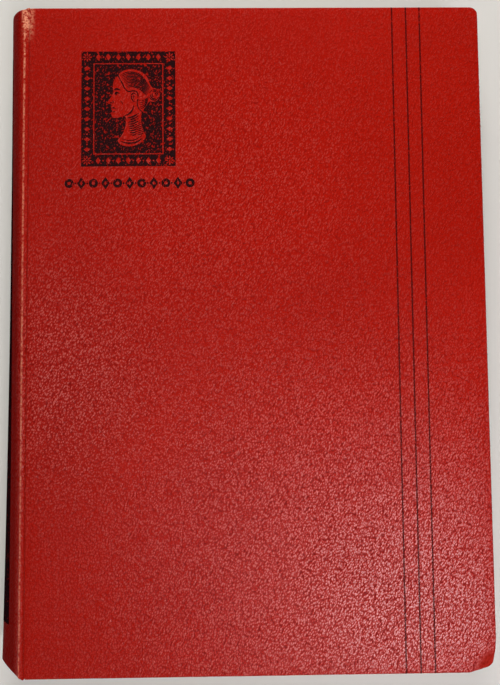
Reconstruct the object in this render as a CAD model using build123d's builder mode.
from build123d import *

import os

# A case-bound stamp album lying closed on its back cover, in millimetres.
# X runs from the spine (-X) to the fore-edge (+X), Y from the tail (-Y) to the head (+Y), Z up.
# The origin is on the table, under the middle of the closed album.

os.makedirs("parts", exist_ok=True)

# The case
cover_height = 325.0
cover_width = 226.0          # from the spine's ridge to the fore-edge
album_thickness = 24.0
spine_bulge = 10.5           # how far the rounded spine stands out past its ridge
cloth_thickness = 0.45
board_thickness = 2.5
board_corner = 2.0
turn_in = 16.0               # cloth folded over onto the inside of each board
card_thickness = 1.0         # curved card that keeps the spine round

# The joint between each cover and the spine
joint_to_ridge = 1.8         # hinge line to the spine's ridge
joint_to_board = 1.9         # hinge line to the board's inner edge
joint_depth = 1.5            # hinge line below the cover's outer face
joint_gap = 0.3              # room on each side of a hinge line
ridge_drop = 0.6             # the ridge is this much lower than the cover's face
ridge_width = 0.9

# The endpapers
pastedown_thickness = 0.25
pastedown_margin = 4.0
flyleaf_thickness = 0.2
flyleaf_offset = 1.1         # between a flyleaf and the leaf next to it
flyleaf_start = 3.0          # from its fold

# The leaves
leaf_count = 8
leaf_pitch = 1.9
leaf_height = 315.0
leaf_card_thickness = 0.8
leaf_corner = 1.5
fore_edge_square = 5.0       # the covers stand out this much past the leaves
root_to_joint = 2.6          # fold line of the leaves, in from the covers' hinge lines
guard_start = 0.3
guard_length = 14.0
guard_thickness = 0.2

# The pockets on each page
pocket_rows = 9
pocket_pitch = 34.0
pocket_height = 25.0
pocket_thickness = 0.15
pocket_inner_margin = 8.0    # from the leaf card's inner edge
pocket_outer_margin = 6.0
interleaf_gap = 0.05
interleaf_thickness = 0.08
interleaf_margin = 2.0

# The back of the block
lining_thickness = 0.8
lining_to_root = 0.6
lining_height = 308.0
band_radius = 1.2
band_lift = 0.3              # between the lining's end and the head or tail band

# Places worked out from those
fore_edge = (cover_width + spine_bulge) / 2
ridge = fore_edge - cover_width
hinge_x = ridge + joint_to_ridge
back_hinge_z = joint_depth
front_hinge_z = album_thickness - joint_depth
middle_z = album_thickness / 2
board_inner = hinge_x + joint_to_board
board_outer = fore_edge - cloth_thickness
board_height = cover_height - 2 * cloth_thickness
root_x = hinge_x + root_to_joint
guard_end = root_x + guard_length
leaf_edge = fore_edge - fore_edge_square
inner_face = 2 * cloth_thickness + board_thickness
leaf_heights = [middle_z + leaf_pitch * ((leaf_count - 1) / 2 - n) for n in range(leaf_count)]


def keep(part, name):
    """Label a finished piece and write it to its own STEP file."""
    part.label = name
    export_step(part, f"parts/{name}.step")


def sheet(x_from, x_to, height, z_from, thickness, corner=0.0):
    """A flat rectangular sheet centred on Y, with its four corners rounded."""
    with BuildPart() as made:
        with BuildSketch(Plane.XY.offset(z_from)):
            with Locations(((x_from + x_to) / 2, 0)):
                if corner > 0:
                    RectangleRounded(x_to - x_from, height, corner)
                else:
                    Rectangle(x_to - x_from, height)
        extrude(amount=thickness)
    return made.part


def cover_cloth(outer_z, inward):
    """Cloth over one board: its face, edges and turn-ins, and the strip down in the joint.

    outer_z is the height of the cover's outer face and inward is +1 or -1, towards the leaves.
    """
    shell_left = board_inner - cloth_thickness
    shell_length = fore_edge - shell_left
    shell_middle = (fore_edge + shell_left) / 2
    hinge_z = outer_z + inward * joint_depth
    with BuildPart() as cloth:
        with BuildSketch(Plane.XY.offset(outer_z)):
            with Locations((shell_middle, 0)):
                RectangleRounded(shell_length, cover_height, board_corner + cloth_thickness)
        extrude(amount=inward * inner_face)
        # the space that the board fills
        with BuildSketch(Plane.XY.offset(outer_z + inward * cloth_thickness)):
            with Locations((shell_middle, 0)):
                RectangleRounded(board_outer - board_inner, board_height, board_corner)
        extrude(amount=inward * board_thickness, mode=Mode.SUBTRACT)
        # the bare board between the turn-ins
        with BuildSketch(Plane.XY.offset(outer_z + inward * (inner_face - cloth_thickness))):
            with Locations(((board_inner + board_outer - turn_in) / 2, 0)):
                Rectangle(board_outer - turn_in - board_inner, board_height - 2 * turn_in)
        extrude(amount=inward * cloth_thickness, mode=Mode.SUBTRACT)
        # the strip at the bottom of the groove, out to the hinge line
        with BuildSketch(Plane.XY.offset(hinge_z - cloth_thickness / 2)):
            with Locations(((hinge_x + joint_gap + shell_left) / 2, 0)):
                Rectangle(shell_left - hinge_x - joint_gap, cover_height)
        extrude(amount=cloth_thickness)
    return cloth.part


def pastedown(outer_z, inward):
    """Endpaper glued to the inside of a board, over the turn-ins and down onto the bare board."""
    with BuildPart() as paper:
        with BuildSketch(Plane.XY.offset(outer_z + inward * inner_face)):
            with Locations(((root_x + fore_edge - pastedown_margin) / 2, 0)):
                Rectangle(fore_edge - pastedown_margin - root_x, cover_height - 2 * pastedown_margin)
        extrude(amount=inward * pastedown_thickness)
        with BuildSketch(Plane.XY.offset(outer_z + inward * inner_face)):
            with Locations(((root_x + board_outer - turn_in) / 2, 0)):
                Rectangle(board_outer - turn_in - root_x, board_height - 2 * turn_in)
        extrude(amount=-inward * cloth_thickness)
    return paper.part


# The covers
for side, outer_z, inward in (("front", album_thickness, -1), ("back", 0.0, 1)):
    board_z = min(outer_z + inward * cloth_thickness, outer_z + inward * (cloth_thickness + board_thickness))
    board = sheet(board_inner, board_outer, board_height, board_z, board_thickness, board_corner)
    keep(board, f"{side}_board")
    keep(cover_cloth(outer_z, inward), f"{side}_cover_cloth")
    keep(pastedown(outer_z, inward), f"{side}_pastedown")

# The spine's cloth: from one groove over the ridge, round the back and over the other ridge
ridge_top = album_thickness - ridge_drop
groove_top = front_hinge_z + cloth_thickness / 2
groove_end = hinge_x - joint_gap
with BuildPart() as spine_cloth:
    with BuildSketch(Plane.XZ.offset(-cover_height / 2)):
        with BuildLine():
            Polyline((groove_end, groove_top), (ridge + ridge_width, groove_top), (ridge, ridge_top))
            ThreePointArc(
                (ridge, ridge_top),
                (ridge - spine_bulge, middle_z),
                (ridge, album_thickness - ridge_top),
            )
            Polyline(
                (ridge, album_thickness - ridge_top),
                (ridge + ridge_width, album_thickness - groove_top),
                (groove_end, album_thickness - groove_top),
                (groove_end, groove_top),
            )
        make_face()
        with BuildLine():
            inner_top = groove_top - cloth_thickness
            inner_ridge = ridge_top - cloth_thickness
            Polyline((hinge_x, inner_top), (ridge + ridge_width, inner_top), (ridge, inner_ridge))
            ThreePointArc(
                (ridge, inner_ridge),
                (ridge - spine_bulge + cloth_thickness, middle_z),
                (ridge, album_thickness - inner_ridge),
            )
            Polyline(
                (ridge, album_thickness - inner_ridge),
                (ridge + ridge_width, album_thickness - inner_top),
                (hinge_x, album_thickness - inner_top),
                (hinge_x, inner_top),
            )
        make_face(mode=Mode.SUBTRACT)
    extrude(amount=cover_height)
keep(spine_cloth.part, "spine_cloth")

# The curved card inside the spine's cloth
card_clearance = 0.05
card_outer = ridge - spine_bulge + cloth_thickness + card_clearance
card_top = ridge_top - cloth_thickness - card_clearance
with BuildPart() as spine_card:
    with BuildSketch(Plane.XZ.offset(-board_height / 2)):
        with BuildLine():
            ThreePointArc((ridge, card_top), (card_outer, middle_z), (ridge, album_thickness - card_top))
            Line((ridge, album_thickness - card_top), (ridge, album_thickness - card_top + card_thickness))
            ThreePointArc(
                (ridge, album_thickness - card_top + card_thickness),
                (card_outer + card_thickness, middle_z),
                (ridge, card_top - card_thickness),
            )
            Line((ridge, card_top - card_thickness), (ridge, card_top))
        make_face()
    extrude(amount=board_height)
keep(spine_card.part, "spine_card")

# The lining glued over the leaves' folds, and the bands at its two ends
lining_right = root_x - lining_to_root
lining_low = leaf_heights[-1] - leaf_pitch / 2
lining_high = leaf_heights[0] + leaf_pitch / 2
keep(
    sheet(lining_right - lining_thickness, lining_right, lining_height, lining_low, lining_high - lining_low),
    "spine_lining",
)
band_y = lining_height / 2 + band_lift + band_radius
for name, y in (("headband", band_y), ("tailband", -band_y)):
    with BuildPart() as band:
        with BuildSketch(Plane.XY.offset(lining_low)):
            with Locations((lining_right - band_radius, y)):
                Circle(band_radius)
        extrude(amount=lining_high - lining_low)
    keep(band.part, name)

# The free half of each endpaper
for side, leaf_z, away in (("front", leaf_heights[0], 1), ("back", leaf_heights[-1], -1)):
    flyleaf_z = leaf_z + away * flyleaf_offset - flyleaf_thickness / 2
    flyleaf = sheet(root_x + flyleaf_start, leaf_edge, leaf_height, flyleaf_z, flyleaf_thickness)
    keep(flyleaf, f"{side}_flyleaf")


def pockets(z_from):
    """Rows of clear strips that lie on a page and hold the stamps."""
    x_from = guard_end + pocket_inner_margin
    x_to = leaf_edge - pocket_outer_margin
    with BuildPart() as strips:
        with BuildSketch(Plane.XY.offset(z_from)):
            with Locations(((x_from + x_to) / 2, 0)):
                with GridLocations(0, pocket_pitch, 1, pocket_rows):
                    Rectangle(x_to - x_from, pocket_height)
        extrude(amount=pocket_thickness)
    return strips.part


# The leaves, from the front of the album to the back
for number, leaf_z in enumerate(leaf_heights, start=1):
    card_low = leaf_z - leaf_card_thickness / 2
    card_high = leaf_z + leaf_card_thickness / 2
    card = sheet(guard_end, leaf_edge, leaf_height, card_low, leaf_card_thickness, leaf_corner)
    keep(card, f"leaf_{number}_card")
    guard = sheet(root_x + guard_start, guard_end, leaf_height, leaf_z - guard_thickness / 2, guard_thickness)
    keep(guard, f"leaf_{number}_guard")
    keep(pockets(card_high), f"leaf_{number}_recto_pockets")
    keep(pockets(card_low - pocket_thickness), f"leaf_{number}_verso_pockets")
    interleaf = sheet(
        guard_end,
        leaf_edge - interleaf_margin,
        leaf_height - 2 * interleaf_margin,
        card_high + pocket_thickness + interleaf_gap,
        interleaf_thickness,
    )
    keep(interleaf, f"leaf_{number}_interleaf")
